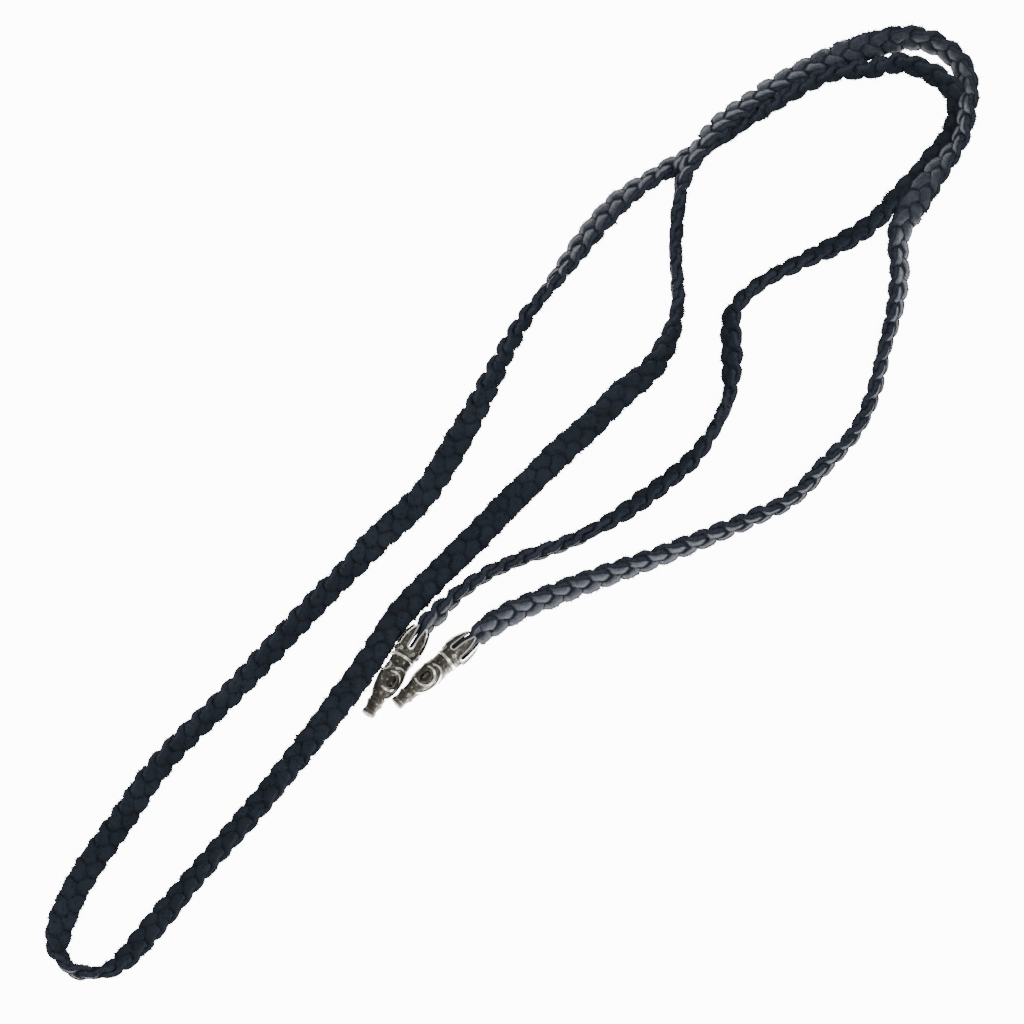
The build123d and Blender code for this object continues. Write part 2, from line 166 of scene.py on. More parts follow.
def drift(rng: np.random.Generator, lengths: np.ndarray, wave: float, amount: float) -> np.ndarray:
    """Smooth seeded noise along a lace.

    Args:
        rng: Seeded source.
        lengths: Where the values are wanted.
        wave: Distance between independent values.
        amount: Largest value.

    Returns:
        One value for each length.
    """
    span = lengths[-1] - lengths[0]
    values = rng.uniform(-amount, amount, int(span / wave) + 3)
    place = (lengths - lengths[0]) / wave
    low = place.astype(int)
    share = smooth_step(place - low)
    return values[low] * (1 - share) + values[low + 1] * share


def new_piece(name: str, points: np.ndarray, faces: list) -> bpy.types.Object:
    """Makes a leather piece that rides on the cord's only body.

    Args:
        name: Name of the piece and its mesh.
        points: Places in millimetres, in rows of three.
        faces: Numbers of the points of each face.

    Returns:
        The new object, at the origin.
    """
    mesh = bpy.data.meshes.new(name)
    mesh.from_pydata((points.reshape(-1, 3) * MM).tolist(), [], faces)
    piece = bpy.data.objects.new(name, mesh)
    bpy.context.scene.collection.objects.link(piece)
    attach(piece, "root")
    return piece


class NaturalCubic:
    """A natural cubic curve through rows of numbers."""

    def __init__(self, knots: np.ndarray, rows: np.ndarray) -> None:
        """Works out the curve's bends.

        Args:
            knots: Growing distances, one for each row.
            rows: The numbers that the curve passes through.
        """
        self.knots, self.rows = knots, rows
        self.gaps = np.diff(knots)
        self.slopes = np.diff(rows, axis=0) / self.gaps[:, None]
        count = len(knots)
        system = np.eye(count)
        wanted = np.zeros_like(rows)
        for i in range(1, count - 1):
            system[i, i - 1:i + 2] = self.gaps[i - 1], 2 * (self.gaps[i - 1] + self.gaps[i]), self.gaps[i]
            wanted[i] = 6 * (self.slopes[i] - self.slopes[i - 1])
        self.bends = np.linalg.solve(system, wanted)

    def at(self, distances: np.ndarray) -> np.ndarray:
        """Rows of the curve.

        Args:
            distances: Where they are wanted along the knots.

        Returns:
            One row for each distance.
        """
        i = np.clip(np.searchsorted(self.knots, distances, side="right") - 1, 0, len(self.knots) - 2)
        gap, ahead = self.gaps[i][:, None], (distances - self.knots[i])[:, None]
        behind = gap - ahead
        curved = self.bends[i] * behind * (behind**2 - gap**2)
        curved = curved + self.bends[i + 1] * ahead * (ahead**2 - gap**2)
        return self.rows[i] + self.slopes[i] * ahead + curved / (6 * gap)


@dataclass(frozen=True)
class Stations:
    """Places along the plait: middle point, way of travel, way across and the smooth face's way."""

    spot: np.ndarray
    travel: np.ndarray
    across: np.ndarray
    face: np.ndarray


@dataclass
class Plait:
    """The laid plait's middle line, which the laces wind round."""

    sizes: CadSizes
    mark_gap: float = 0.5
    half_chord: float = 1.0

    def __post_init__(self) -> None:
        """Lays the middle line through the route and places the two mouths."""
        sizes, route = self.sizes, np.array(ROUTE, float)
        ground = route[:, :2] - np.array(sizes.centre)
        rises = route[:, 2].copy()
        rests = sizes.resting_height(route[:, 3])
        rises[[0, -1]] = sizes.mouth_height - rests[[0, -1]]
        knots = walked(ground)
        self.curve = NaturalCubic(knots, np.column_stack([ground, rises, route[:, 3]]))
        self.marks = np.linspace(0, knots[-1], int(knots[-1] / self.mark_gap) + 1)
        self.true_marks = walked(self.middle(self.marks)[0])
        self.length = float(self.true_marks[-1])
        self.pitches = round(self.length / sizes.plait_pitch)
        self.tail_axis, self.head_axis = sizes.axis(sizes.tail_heading), sizes.axis(sizes.head_heading)
        self.tail_mouth = np.array([*ground[0], sizes.mouth_height])
        self.head_mouth = np.array([*ground[-1], sizes.mouth_height])

    def middle(self, marks: np.ndarray) -> tuple[np.ndarray, np.ndarray]:
        """The middle line.

        Args:
            marks: Distances along the table.

        Returns:
            Its points and their rolls in degrees.
        """
        row = self.curve.at(marks)
        height = self.sizes.resting_height(row[:, 3]) + np.maximum(row[:, 2], 0)
        return np.column_stack([row[:, :2], height]), row[:, 3]

    def stations(self, lengths: np.ndarray) -> Stations:
        """Middle line with its directions, straight on inside the ends.

        Args:
            lengths: True lengths from the tail's mouth; those in the sockets lie below 0 or past the
                plait's length.

        Returns:
            The stations at these lengths.
        """
        marks = np.interp(lengths, self.true_marks, self.marks)
        spot, roll = self.middle(marks)
        ahead = self.middle(np.minimum(marks + self.half_chord, self.curve.knots[-1]))[0]
        behind = self.middle(np.maximum(marks - self.half_chord, 0))[0]
        travel = unit(ahead - behind)
        before, after = lengths <= 0, lengths >= self.length
        spot[before] = self.tail_mouth + np.outer(lengths[before], self.tail_axis)
        spot[after] = self.head_mouth - np.outer(lengths[after] - self.length, self.head_axis)
        travel[before], travel[after] = self.tail_axis, -self.head_axis
        left = unit(np.cross([0, 0, 1], travel))
        up = np.cross(travel, left)
        turned = np.radians(roll)[:, None]
        face = up * np.cos(turned) + left * np.sin(turned)
        return Stations(spot, travel, np.cross(face, travel), face)


@dataclass(frozen=True)
class LaceRun:
    """A lace's own line: middle, turn of its swing, how far it swings out, share of its full size that it
    has, and the width and thickness that this leaves."""

    centre: np.ndarray
    turn: np.ndarray
    spread: np.ndarray
    full: np.ndarray
    width: np.ndarray
    thickness: np.ndarray


@dataclass
class Lace:
    """One lace of the plait as a crowned strap whose edges bend round the two others.

    A drift is the distance between independent values and the largest value.
    """

    plait: Plait
    number: int
    seed: int = 70
    width: float = 3.2
    thickness: float = 1.7
    ring_gap: float = 0.35
    cup: float = 0.30
    edge_fray: float = 0.24
    nap_lumps: float = 0.13
    mouth_lead: float = 0.75
    opening_length: float = 3.0
    bundle_slack: float = 0.1
    bell_fill: float = 0.8
    fill_spread: float = 0.45
    reach_drift: tuple[float, float] = (9.0, 0.05)
    lift_drift: tuple[float, float] = (7.0, 0.10)
    width_drift: tuple[float, float] = (6.0, 0.08)
    swell_drift: tuple[float, float] = (2.5, 0.12)
    flat_top: float = 0.6
    edge_dip: float = 0.12
    edge_reach: float = 0.65
    reach_from: float = 0.1
    reach_over: float = 0.35
    profile: tuple[float, ...] = (-0.94, -0.76, -0.42, 0.0, 0.42, 0.76, 0.94)
    squareness: float = 5.0
    edge_from: float = 0.9
    border_from: float = 0.6
    upper_from: float = 0.3

    def build(self) -> bpy.types.Object:
        """Makes the strap and hides the plain CAD lace.

        Returns:
            The new piece.
        """
        self.shape()
        count, points = self.skin.shape[:2]
        ring = np.arange(points)
        here = (np.arange(count - 1) * points)[:, None]
        quads = np.stack([here + ring, here + (ring + 1) % points, here + points + (ring + 1) % points,
                          here + points + ring], axis=-1).reshape(-1, 4)
        caps = [list(range(points))[::-1], list(range((count - 1) * points, count * points))]
        self.piece = new_piece(f"leather_lace_{self.number + 1}", self.skin, quads.tolist() + caps)
        grain = self.piece.data.attributes.new("grain", "FLOAT", "POINT")
        grain.data.foreach_set("value", self.grain.astype(np.float32).ravel())
        self.piece.data.shade_smooth()
        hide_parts(f"lace_{self.number + 1}")
        return self.piece

    def shape(self) -> None:
        """Works out the skin's points, their outward ways and which side of the leather they are."""
        rng = np.random.default_rng(self.seed + self.number)
        inside = self.plait.sizes.socket_depth - self.plait.sizes.socket_clearance
        self.lengths = np.arange(-inside, self.plait.length + inside, self.ring_gap)
        at = self.plait.stations(self.lengths)
        run = self.lay(rng, at)
        path = unit(np.gradient(run.centre, axis=0))
        side = unit(np.cross(at.face, path))
        top = np.cross(path, side)
        x, y = self.section()
        edge, upper = abs(x) > self.edge_from, y > self.upper_from
        rough = rng.uniform(-1, 1, (len(self.lengths), len(x))) * run.full[:, None]
        fray = rough * self.edge_fray * edge
        swell = drift(rng, self.lengths, *self.swell_drift)[:, None] * (1 - x**2)
        wide = run.width[:, None] / 2 * x + fray * np.sign(x) + self.outer_reach(run, x)
        high = run.thickness[:, None] / 2 * y * (1 + swell)
        high = high - self.cup * (run.full * np.sin(2 * run.turn))[:, None] * x**2
        high = high + rough[:, ::-1] * self.nap_lumps * ~(upper & ~edge)
        self.skin = run.centre[:, None] + side[:, None] * wide[..., None] + top[:, None] * high[..., None]
        self.skin[..., 2] = np.maximum(self.skin[..., 2], TABLE_GAP)
        around = np.roll(self.skin, -1, axis=1) - np.roll(self.skin, 1, axis=1)
        self.out = unit(np.cross(around, np.gradient(self.skin, axis=0)))
        away = np.einsum("ijk,ijk->ij", self.out, self.skin - run.centre[:, None])
        self.out = self.out * np.where(away.mean() < 0, -1, 1)
        kind = np.where(abs(x) > self.border_from, Side.BORDER.value, Side.GRAIN.value)
        kind = np.where(upper, kind, Side.SUEDE.value)
        kind = np.where(edge, Side.EDGE.value, kind)
        self.grain = np.broadcast_to(kind, self.skin.shape[:2])
        self.across = np.einsum("ijk,ik->ij", self.skin - at.spot[:, None], at.across)
        self.depth = np.einsum("ijk,ik->ij", self.skin - at.spot[:, None], at.face)
        self.travel, self.edge = at.travel, edge

    def lay(self, rng: np.random.Generator, at: Stations) -> LaceRun:
        """Winds the lace's middle round the plait's, and gathers it to a bundle inside the ends.

        Args:
            rng: Seeded source.
            at: The plait's stations at the lace's lengths.

        Returns:
            The lace's own line.
        """
        sizes, plait = self.plait.sizes, self.plait
        past_mouth = np.minimum(self.lengths, plait.length - self.lengths)
        full = smooth_step((past_mouth + self.mouth_lead) / self.opening_length)
        last = sizes.stations_per_pitch * plait.pitches
        station = np.clip(self.lengths / plait.length * last, sizes.held_stations, last - sizes.held_stations)
        turn = pi / 2 + 2 * pi * station / sizes.stations_per_pitch + 2 * pi * self.number / LACES
        bundle = (sizes.bundle_lace_thickness + sizes.bundle_gap) / 2 / sin(pi / LACES) + self.bundle_slack
        reach = (sizes.plait_width - self.width) / 2 * (1 + drift(rng, self.lengths, *self.reach_drift))
        lift = (sizes.plait_thickness - self.thickness) / 2 * (1 + drift(rng, self.lengths, *self.lift_drift))
        # the bundle fills out where the bell is wide
        deep = -past_mouth / sizes.socket_depth
        filling = self.bell_fill * np.sin(pi * deep.clip(0, 1)) ** 2
        spread = bundle + full * (reach - bundle) + filling * self.fill_spread
        weave = bundle + full * (lift - bundle) + filling * self.fill_spread
        width = sizes.bundle_lace_width + full * (self.width - sizes.bundle_lace_width) + filling
        width = width * (1 + full * drift(rng, self.lengths, *self.width_drift))
        thickness = sizes.bundle_lace_thickness + full * (self.thickness - sizes.bundle_lace_thickness)
        wave = np.sin(2 * turn)
        wave = wave * (1 + self.flat_top * (1 - wave**2))
        centre = at.spot + at.across * (spread * np.sin(turn))[:, None] + at.face * (weave * wave)[:, None]
        return LaceRun(centre, turn, spread, full, width, thickness)

    def section(self) -> tuple[np.ndarray, np.ndarray]:
        """Points round the strap's section: edge, upper side, edge, lower side.

        Returns:
            Their shares of half the width, and of half the thickness.
        """
        profile = np.array(self.profile)
        rise = (1 - abs(profile) ** self.squareness) ** 0.5
        x = np.concatenate([[-1], profile, [1], profile[::-1]])
        return x, np.concatenate([[0], rise, [0], -rise[::-1]])

    def outer_reach(self, run: LaceRun, x: np.ndarray) -> np.ndarray:
        """Spreads the outer half to the plait's outline where the lace comes in from its edge.

        Args:
            run: The lace's own line.
            x: The section's shares of half the width.

        Returns:
            How far each point of each ring moves across.
        """
        swing = np.sin(run.turn)
        short = self.plait.sizes.plait_width / 2 - self.edge_dip - run.spread * abs(swing) - run.width / 2
        share = smooth_step((abs(swing) - self.reach_from) / self.reach_over)
        reach = run.full * short.clip(0, self.edge_reach) * share * np.sign(swing)
        return reach[:, None] * (x * np.sign(swing)[:, None]).clip(0)

    def dress(self, finish: "LeatherFinish") -> None:
        """Gives the strap its leather."""
        self.piece.data.materials.append(finish.material())


@dataclass
class Fuzz:
    """Fibres that stand out of the suede: short tapering tufts or long thin strays.

    A fibre has three sides and tapers over its joints to a point. It grows only where it shows, which is
    out on the plait's rim or face, in patches and away from the mouths.
    """

    name: str
    count: int
    length: tuple[float, float]
    radius: tuple[float, float]
    joints: int
    bend: float
    seed: int
    suede_chance: float = 0.55
    rim_from: float = 2.7
    face_from: float = 0.9
    least_patch: float = 0.35
    patch_drift: tuple[float, float] = (3.0, 0.65)
    bare_mouth: float = 3.0
    scatter: float = 0.2
    sunk: float = 0.06
    lean_along: float = 0.45
    lean: float = 0.30
    shortest: float = 0.5

    def build(self, laces: list[Lace]) -> bpy.types.Object:
        """Grows the fibres on the laces' edges and suede sides.

        Args:
            laces: Shaped laces.

        Returns:
            One piece with all fibres.
        """
        rng = np.random.default_rng(self.seed)
        root, way, run = self.plant(rng, laces)
        count = len(root)
        root = root + run * rng.uniform(-self.scatter, self.scatter, (count, 1)) - way * self.sunk
        way = way + run * rng.normal(0, self.lean_along, (count, 1)) + rng.normal(0, self.lean, (count, 3))
        way = unit(way)
        sway = unit(np.cross(way, rng.normal(0, 1, (count, 3))))
        other = np.cross(way, sway)
        length = rng.uniform(*self.length, (count, 1)) * rng.uniform(self.shortest, 1, (count, 1))
        radius = rng.uniform(*self.radius, (count, 1))
        rows = []
        for joint in range(self.joints):
            share = joint / self.joints
            middle = root + way * length * share + sway * length * self.bend * share**2
            for corner in range(3):
                angle = 2 * pi * corner / 3
                rows.append(middle + (sway * cos(angle) + other * sin(angle)) * radius * (1 - share))
        rows.append(root + way * length + sway * length * self.bend)
        points = np.stack(rows, axis=1)
        points[..., 2] = np.maximum(points[..., 2], TABLE_GAP)
        firsts = (np.arange(count) * points.shape[1])[:, None, None]
        faces = (firsts + np.array(self.fibre_faces())[None]).reshape(-1, 3)
        self.piece = new_piece(self.name, points, faces.tolist())
        return self.piece

    def plant(self, rng: np.random.Generator, laces: list[Lace]) -> list[np.ndarray]:
        """Picks where the fibres grow.

        Args:
            rng: Seeded source.
            laces: Shaped laces.

        Returns:
            Points on the skins, the skins' outward ways there, and the plait's ways of travel.
        """
        picks = []
        for lace in laces:
            suede = np.where(lace.grain > Side.EDGE.value, 0.0, self.suede_chance)
            chance = np.where(lace.edge[None, :], 1.0, suede)
            shown = (abs(lace.across) > self.rim_from) | (abs(lace.depth) > self.face_from)
            patchy = self.least_patch + drift(rng, lace.lengths, *self.patch_drift)[:, None].clip(0)
            chance = chance * shown * patchy
            past_mouth = np.minimum(lace.lengths, lace.plait.length - lace.lengths)
            chance[past_mouth < self.bare_mouth] = 0
            flat = chance.ravel() / chance.sum()
            picked = rng.choice(len(flat), self.count // len(laces), p=flat)
            picks.append((lace.skin.reshape(-1, 3)[picked], lace.out.reshape(-1, 3)[picked],
                          lace.travel[picked // lace.skin.shape[1]]))
        return [np.concatenate(part) for part in zip(*picks)]

    def fibre_faces(self) -> list[tuple[int, int, int]]:
        """Faces of one fibre, open at its root.

        Returns:
            Numbers of the corners, counted from the fibre's first point.
        """
        faces = []
        for joint in range(self.joints - 1):
            for corner in range(3):
                a, b = 3 * joint + corner, 3 * joint + (corner + 1) % 3
                faces += [(a, b, b + 3), (a, b + 3, a + 3)]
        last = 3 * (self.joints - 1)
        return faces + [(last + corner, last + (corner + 1) % 3, 3 * self.joints) for corner in range(3)]

    def dress(self, finish: "FibreFinish") -> None:
        """Gives the fibres their colour."""
        self.piece.data.materials.append(finish.material())


class Value:
    """A shader socket that takes part in sums."""

    def __init__(self, graph: "Graph", socket: bpy.types.NodeSocket) -> None:
        """Keeps the socket and the graph that it is in."""
        self.graph, self.socket = graph, socket

    def _math(self, operation: str, *inputs: "Value | float") -> "Value":
        """The result of one Math node.

        Args:
            operation: Blender's name of the operation.
            inputs: Its values in order.

        Returns:
            The node's output.
        """
        return self.graph.node("ShaderNodeMath", {"operation": operation}, dict(enumerate(inputs))).value()

    def __add__(self, other: "Value | float") -> "Value":
        """The sum."""
        return self._math("ADD", self, other)

    def __radd__(self, other: float) -> "Value":
        """The sum, with a number in front."""
        return self._math("ADD", other, self)

    def __sub__(self, other: "Value | float") -> "Value":
        """The difference."""
        return self._math("SUBTRACT", self, other)

    def __rsub__(self, other: float) -> "Value":
        """The difference, with a number in front."""
        return self._math("SUBTRACT", other, self)

    def __mul__(self, other: "Value | float") -> "Value":
        """The product."""
        return self._math("MULTIPLY", self, other)

    def __rmul__(self, other: float) -> "Value":
        """The product, with a number in front."""
        return self._math("MULTIPLY", other, self)

    def larger(self, other: "Value | float") -> "Value":
        """The larger of two values."""
        return self._math("MAXIMUM", self, other)

    def between(self, low: float, high: float) -> "Value":
        """A smooth step.

        Args:
            low: Where it is 0; this may be the larger number.
            high: Where it is 1.

        Returns:
            0 on one side, 1 on the other and smooth in between.
        """
        settings = {"interpolation_type": "SMOOTHSTEP"}
        sockets = {"Value": self, "From Min": low, "From Max": high}
        return self.graph.node("ShaderNodeMapRange", settings, sockets).value()


class Made:
    """A node that was made, with a short way to its outputs."""

    def __init__(self, graph: "Graph", node: bpy.types.Node) -> None:
        """Keeps the node and the graph that it is in."""
        self.graph, self.node = graph, node

    def value(self, name: str | int = 0) -> Value:
        """One of the node's outputs."""
        return Value(self.graph, self.node.outputs[name])


class Graph:
    """A material's node tree."""

    def __init__(self, name: str) -> None:
        """Starts a material of this name with no nodes."""
        self.material = bpy.data.materials.new(name)
        self.material.use_nodes = True
        self.tree = self.material.node_tree
        self.tree.nodes.clear()

    def node(self, kind: str, settings: dict | None = None, sockets: dict | None = None) -> Made:
        """Makes one node.

        Args:
            kind: Blender's name of the node type.
            settings: Values of its properties.
            sockets: Values or links of its inputs, by name or number.

        Returns:
            The node.
        """
        made = self.tree.nodes.new(kind)
        for name, value in (settings or {}).items():
            setattr(made, name, value)
        for name, value in (sockets or {}).items():
            if isinstance(value, Value):
                self.tree.links.new(value.socket, made.inputs[name])
            else:
                made.inputs[name].default_value = value
        return Made(self, made)

    def vector(self, operation: str, sockets: dict, output: str | int = 0) -> Value:
        """The result of one Vector Math node.

        Args:
            operation: Blender's name of the operation.
            sockets: Values or links of its inputs.
            output: Name of the output that holds the result.

        Returns:
            The node's output.
        """
        return self.node("ShaderNodeVectorMath", {"operation": operation}, sockets).value(output)

    def place(self) -> Value:
        """The point in the object's own frame, in millimetres."""
        return self.vector("SCALE", {0: self.node("ShaderNodeTexCoord").value("Object"), "Scale": 1 / MM})

    def noise(self, scale: float, detail: float = 3.0, roughness: float = 0.6) -> Value:
        """Noise from 0 to 1.

        Args:
            scale: Lumps a millimetre.
            detail: How many finer layers it has.
            roughness: Strength of each finer layer.

        Returns:
            The noise.
        """
        sockets = {"Vector": self.place(), "Scale": scale, "Detail": detail, "Roughness": roughness}
        return self.node("ShaderNodeTexNoise", None, sockets).value()

    def mix(self, share: "Value | float", low: tuple | Value, high: tuple | Value) -> Value:
        """A colour between two.

        Args:
            share: 0 for the first, 1 for the second.
            low: The first colour.
            high: The second colour.

        Returns:
            The mixed colour.
        """
        tints = [tint if isinstance(tint, Value) else (*tint, 1.0) for tint in (low, high)]
        sockets = {0: share, 6: tints[0], 7: tints[1]}
        return self.node("ShaderNodeMix", {"data_type": "RGBA"}, sockets).value(2)

    def bump(self, height: Value, strength: float, distance: float) -> Value:
        """A bumped normal.

        Args:
            height: The pattern.
            strength: Share of it that shows.
            distance: Its depth in millimetres.

        Returns:
            The normal.
        """
        sockets = {"Height": height, "Strength": strength, "Distance": distance * MM}
        return self.node("ShaderNodeBump", None, sockets).value("Normal")

    def principled(self, sockets: dict) -> Value:
        """The general shader with these inputs."""
        return self.node("ShaderNodeBsdfPrincipled", None, sockets).value()

    def blend(self, share: Value, low: Value, high: Value) -> Value:
        """A mix of two shaders."""
        return self.node("ShaderNodeMixShader", None, {0: share, 1: low, 2: high}).value()

    def surface(self, shader: Value) -> bpy.types.Material:
        """Puts a shader on the material's output and gives the material."""
        self.node("ShaderNodeOutputMaterial", None, {"Surface": shader})
        return self.material


@dataclass(frozen=True)
class LeatherFinish:
    """Near-black leather: smooth grain with a soft shine on one side, suede on the other and the edges.

    Scales are lumps a millimetre, depths are in millimetres. A pair of limits says where a mask is 0 and
    where it is 1. The gloss fades towards grazing angles, where it would mirror the glowing table.
    """

    name: str = "plait_leather"
    suede: tuple[float, float, float] = (0.024, 0.030, 0.040)
    suede_light: tuple[float, float, float] = (0.045, 0.056, 0.073)
    # the edges' own tone, lightened as painted fill light into the shade of the crevices between laces
    edge: tuple[float, float, float] = (0.050, 0.058, 0.077)
    border: tuple[float, float, float] = (0.026, 0.031, 0.043)
    grain: tuple[float, float, float] = (0.037, 0.043, 0.059)
    grain_worn: tuple[float, float, float] = (0.072, 0.080, 0.104)
    edge_tone_and_painted_fill_limits: tuple[float, float] = (0.20, 0.38)
    border_limits: tuple[float, float] = (0.56, 0.68)
    smooth_limits: tuple[float, float] = (0.66, 0.82)
    broken_scale: float = 2.2
    cloud_scale: float = 0.12
    nap_scale: float = 7.0
    nap_depth: float = 0.12
    nap_limits: tuple[float, float] = (0.35, 0.85)
    pore_scale: float = 3.2
    pore_width: float = 0.12
    pore_share: float = 0.35
    crease_scale: float = 0.9
    grain_depth: float = 0.10
    worn_limits: tuple[float, float] = (0.42, 0.78)
    least_roughness: float = 0.34
    roughness_play: float = 0.22
    gloss: float = 0.09
    gloss_limits: tuple[float, float] = (0.36, 0.72)

    def material(self) -> bpy.types.Material:
        """The leather, built once and given again after that."""
        return bpy.data.materials.get(self.name) or self.build()

    def build(self) -> bpy.types.Material:
        """Builds the material.

        Returns:
            The material, which reads the side of the leather from the grain attribute.
        """
        graph = Graph(self.name)
        side = graph.node("ShaderNodeAttribute", {"attribute_name": "grain"}).value("Fac")
        broken = graph.noise(self.broken_scale, 4) * 0.5 - 0.25
        smooth = (side + broken * 0.5).between(*self.smooth_limits)
        # mask of the edges, where the tone is lightened as painted fill light
        edge_tone_and_painted_fill = (side + broken * 0.5).between(*self.edge_tone_and_painted_fill_limits)
        border = (side + broken * 0.3).between(*self.border_limits)
        cloud = graph.noise(self.cloud_scale, 2)
        suede = self.suede_shader(graph, edge_tone_and_painted_fill, border, cloud)
        return graph.surface(graph.blend(smooth, suede, self.grain_shader(graph, cloud)))

    def suede_shader(self, graph: Graph, edge_tone_and_painted_fill: Value, border: Value, cloud: Value) -> Value:
        """The rough side, the edges with painted fill light, and the dull border of the smooth side.

        Args:
            graph: Where the nodes go.
            edge_tone_and_painted_fill: 1 on the edges, where painted fill light lightens the tone.
            border: 1 on the border.
            cloud: Wide noise.

        Returns:
            The shader.
        """
        nap = graph.noise(self.nap_scale, 4, 0.7)
        tint = graph.mix((nap * 0.6 + cloud * 0.5).between(*self.nap_limits), self.suede, self.suede_light)
        # the edges take a lighter tone: partly their own, partly painted fill light in the shade between
        # laces
        tint = graph.mix(border, graph.mix(edge_tone_and_painted_fill, tint, self.edge), self.border)
        return graph.principled({"Base Color": tint, "Roughness": 1.0, "Specular IOR Level": 0.0,
                                 "Normal": graph.bump(nap, 0.9, self.nap_depth)})

    def grain_shader(self, graph: Graph, cloud: Value) -> Value:
        """The smooth side with its pores, creases and worn places.

        Args:
            graph: Where the nodes go.
            cloud: Wide noise.

        Returns:
            The shader.
        """
        pores = graph.node("ShaderNodeTexVoronoi", {"feature": "DISTANCE_TO_EDGE"},
                           {"Vector": graph.place(), "Scale": self.pore_scale}).value()
        creases = graph.noise(self.crease_scale, 5, 0.65)
        height = pores.between(0.0, self.pore_width) * self.pore_share + creases
        relief = graph.bump(height, 0.5, self.grain_depth)
        wear = (creases * 0.7 + cloud * 0.5).between(*self.worn_limits)
        worn = graph.mix(wear, self.grain, self.grain_worn)
        glossy = graph.principled({"Base Color": worn, "Normal": relief, "Specular IOR Level": self.gloss,
                                   "Roughness": self.least_roughness + creases * self.roughness_play})
        matt = graph.principled({"Base Color": worn, "Normal": relief, "Specular IOR Level": 0.0,
                                 "Roughness": 1.0})
        facing = graph.node("ShaderNodeLayerWeight", None, {"Blend": 0.5}).value("Facing")
        return graph.blend(facing.between(*self.gloss_limits), glossy, matt)


@dataclass(frozen=True)
class FibreFinish:
    """Loose fibres, a little paler than the suede they come from."""

    name: str
    dark: tuple[float, float, float] = (0.020, 0.027, 0.038)
    pale: tuple[float, float, float] = (0.052, 0.062, 0.082)
    cloud_scale: float = 0.8
    pale_limits: tuple[float, float] = (0.35, 0.75)

    def material(self) -> bpy.types.Material:
        """Builds the material.

        Returns:
            The material.
        """
        graph = Graph(self.name)
        cloud = graph.noise(self.cloud_scale, 2).between(*self.pale_limits)
        tint = graph.mix(cloud, self.dark, self.pale)
        return graph.surface(graph.principled({"Base Color": tint, "Roughness": 1.0,
                                               "Specular IOR Level": 0.0}))


@dataclass(frozen=True)
class SilverFinish:
    """Cast silver, polished where it stands proud and oxidised brown-black in its recesses.

    Scales are lumps a millimetre. A pair of limits says where a mask is 0 and where it is 1, by how far
    the casting stands out of its turned outline in millimetres, or for a patch by the noise.
    """

    name: str
    tip: tuple[float, float, float]
    axis: tuple[float, float, float]
    length: float
    radius: float
    polished: tuple[float, float, float] = (0.66, 0.65, 0.60)
    skin: tuple[float, float, float] = (0.095, 0.087, 0.070)
    oxide: tuple[float, float, float] = (0.030, 0.027, 0.024)
    bright_limits: tuple[float, float] = (0.10, 0.27)
    clean_limits: tuple[float, float] = (-0.20, 0.10)
    grime_scale: float = 0.8
    grime_play: float = 0.30
    fine_scale: float = 5.0
    fine_play: float = 0.16
    patch_scale: float = 1.0
    patch_play: float = 0.8
    patch_limits: tuple[float, float] = (0.55, 0.70)
    patch_bright: float = 0.60
    roughness: float = 0.50
    polish: float = 0.22
    least_metal: float = 0.75
    pit_depth: float = 0.06
    # turned outline of the CAD end: share of its length, share of its radius
    outline: tuple[tuple[float, float], ...] = (
        (0.000, 0.43), (0.010, 0.52), (0.054, 0.48), (0.085, 0.48), (0.128, 0.62), (0.149, 0.56),
        (0.21, 0.58), (0.30, 0.75), (0.385, 0.85), (0.47, 0.88), (0.545, 0.83), (0.631, 0.84),
        (0.666, 0.85), (0.712, 0.94), (0.781, 1.00), (0.865, 0.95), (0.942, 0.80), (1.000, 0.62))

    def material(self) -> bpy.types.Material:
        """Builds the material for one end.

        Returns:
            The material, which knows where the end lies.
        """
        graph = Graph(self.name)
        grime = graph.noise(self.grime_scale, 4) - 0.5
        fine = graph.noise(self.fine_scale, 4, 0.7) - 0.5
        patch = graph.noise(self.patch_scale, 4, 0.65)
        proud = self.proud(graph) + grime * self.grime_play + fine * self.fine_play
        rubbed = patch.between(*self.patch_limits) * self.patch_bright
        bright = proud.between(*self.bright_limits).larger(rubbed)
        clean = (proud + (patch - 0.5) * self.patch_play).between(*self.clean_limits)
        tint = graph.mix(bright, graph.mix(clean, self.oxide, self.skin), self.polished)
        return graph.surface(graph.principled({
            "Base Color": tint, "Metallic": self.least_metal + bright * (1 - self.least_metal),
            "Roughness": self.roughness - bright * self.polish + fine * 0.2,
            "Normal": graph.bump(fine + grime, 0.35, self.pit_depth)}))

    def proud(self, graph: Graph) -> Value:
        """How far a point stands out of the end's turned outline.

        Args:
            graph: Where the nodes go.

        Returns:
            The distance in millimetres.
        """
        rel = graph.vector("SUBTRACT", {0: graph.place(), 1: self.tip})
        ahead = graph.vector("DOT_PRODUCT", {0: rel, 1: self.axis}, "Value")
        foot = graph.vector("SCALE", {0: self.axis, "Scale": ahead})
        out = graph.vector("DISTANCE", {0: rel, 1: foot}, "Value")
        curve = graph.node("ShaderNodeFloatCurve", None, {"Value": ahead * (1 / self.length)})
        line = curve.node.mapping.curves[0]
        line.points[0].location, line.points[1].location = self.outline[0], self.outline[-1]
        for station, radius in self.outline[1:-1]:
            line.points.new(station, radius)
        for point in line.points:
            point.handle_type = "VECTOR"
        curve.node.mapping.update()
        return out - curve.value() * self.radius


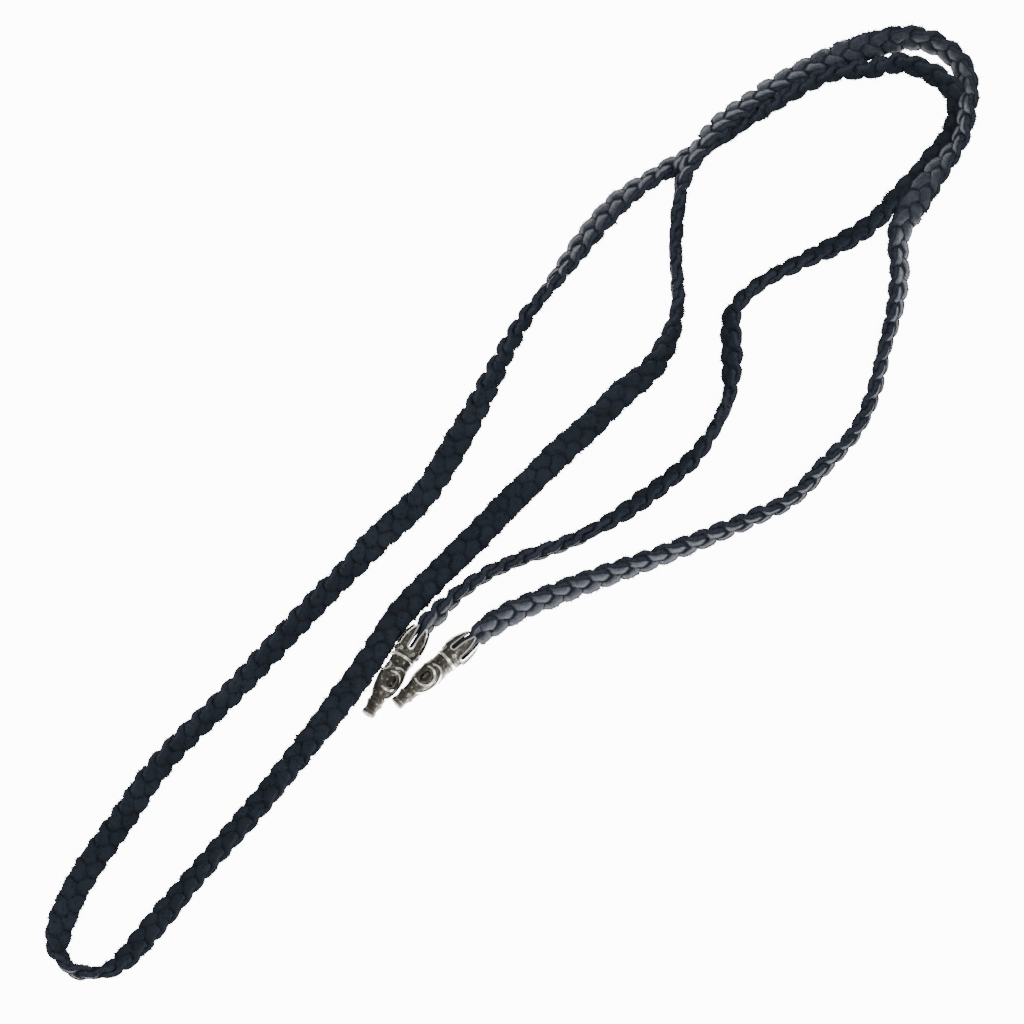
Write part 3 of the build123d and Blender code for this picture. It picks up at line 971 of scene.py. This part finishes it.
@dataclass
class SilverEnds:
    """The two cast ends: the CAD nodes with an oxidised silver finish."""

    plait: Plait

    def dress(self) -> None:
        """Gives both ends their finish, each in its own frame."""
        sizes = self.plait.sizes
        ends = {"tail": (self.plait.tail_mouth, self.plait.tail_axis),
                "head": (self.plait.head_mouth, self.plait.head_axis)}
        for name, (mouth, axis) in ends.items():
            tip = mouth - axis * sizes.end_length
            material = SilverFinish(f"silver_{name}", tuple(tip), tuple(axis), sizes.end_length,
                                    sizes.end_radius).material()
            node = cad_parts[f"end_cap_{name}"]
            for slot in node.material_slots:
                slot.material = material


@dataclass
class Studio:
    """Camera at the photograph's angle, pale table and soft light; the table and lights are in metres."""

    elevation: float = 72.0
    lens: float = 1200.0
    sensor: float = 36.0
    target: tuple[float, float] = (-0.8, -1.84)
    view_width: float = 256.0
    table_size: float = 4.0
    table_white: tuple[float, float, float, float] = (0.93, 0.93, 0.93, 1.0)
    table_glow: float = 12.0
    world_light: float = 0.60
    key_light: float = 5.0
    key_place: tuple[float, float, float] = (0.35, -0.40, 1.2)
    key_size: float = 0.6
    fill_share: float = 0.15
    fill_place: tuple[float, float, float] = (-0.8, 0.5, 0.9)
    fill_size: float = 0.8

    def build(self) -> None:
        """Makes the camera, the table, the world and the lights."""
        self.place_camera()
        self.lay_table()
        self.light_world()
        self.area_light("key", self.key_place, self.key_size, self.key_light)
        self.area_light("fill", self.fill_place, self.fill_size, self.key_light * self.fill_share)

    def place_camera(self) -> None:
        """Puts the camera where the photograph was taken from."""
        data = bpy.data.cameras.new("camera")
        data.lens, data.sensor_width = self.lens, self.sensor
        camera = bpy.data.objects.new("camera", data)
        back = Vector((0, -cos(radians(self.elevation)), sin(radians(self.elevation))))
        target = Vector((*self.target, 0)) * MM
        camera.location = target + back * (self.view_width * MM * self.lens / self.sensor)
        camera.rotation_mode = "QUATERNION"
        camera.rotation_quaternion = (-back).to_track_quat("-Z", "Y")
        bpy.context.scene.collection.objects.link(camera)
        bpy.context.scene.camera = camera

    def lay_table(self) -> None:
        """Makes a matt white table lit from below, as a light table is."""
        bpy.ops.object.select_all(action="DESELECT")
        bpy.ops.mesh.primitive_plane_add(size=self.table_size, location=(0, 0, 0))
        table = bpy.context.object
        table.name = "table"
        graph = Graph("table_white")
        table.data.materials.append(graph.surface(graph.principled({
            "Base Color": self.table_white, "Roughness": 0.9, "Specular IOR Level": 0.1,
            "Emission Color": WHITE, "Emission Strength": self.table_glow})))
        # its glow would light the leather from below
        table.visible_diffuse = False

    def light_world(self) -> None:
        """Makes even white surroundings."""
        world = bpy.data.worlds.new("studio")
        world.use_nodes = True
        background = world.node_tree.nodes["Background"]
        background.inputs["Color"].default_value = WHITE
        background.inputs["Strength"].default_value = self.world_light
        bpy.context.scene.world = world

    def area_light(self, name: str, place: tuple[float, float, float], size: float, power: float) -> None:
        """Makes a square soft light that looks at the middle of the table.

        Args:
            name: Name of the light.
            place: Its place in metres.
            size: Its side in metres.
            power: Its power in watts.
        """
        data = bpy.data.lights.new(name, "AREA")
        data.size, data.energy = size, power
        light = bpy.data.objects.new(name, data)
        light.location = place
        light.rotation_mode = "QUATERNION"
        light.rotation_quaternion = (-Vector(place)).to_track_quat("-Z", "Y")
        bpy.context.scene.collection.objects.link(light)


def main() -> None:
    """Builds everything in order and reports it."""
    logging.basicConfig(level=logging.INFO, format="%(name)s: %(message)s")
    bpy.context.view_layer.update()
    Studio().build()
    plait = Plait(CadSizes())
    log.info("plait %.0f mm, %d pitches", plait.length, plait.pitches)
    laces = [Lace(plait, number) for number in range(LACES)]
    for lace in laces:
        piece = lace.build()
        lace.dress(LeatherFinish())
        log.info("%s: %d faces", piece.name, len(piece.data.polygons))
    tufts = Fuzz("suede_tufts", 21000, length=(0.45, 1.1), radius=(0.12, 0.26), joints=2, bend=0.25, seed=5)
    strays = Fuzz("stray_fibres", 2600, length=(0.9, 2.5), radius=(0.045, 0.08), joints=3, bend=0.5, seed=9)
    for fuzz in (tufts, strays):
        piece = fuzz.build(laces)
        fuzz.dress(FibreFinish(f"{fuzz.name}_leather"))
        log.info("%s: %d faces", piece.name, len(piece.data.polygons))
    SilverEnds(plait).dress()
    log.info("two silver ends dressed")


if __name__ == "__main__":
    main()
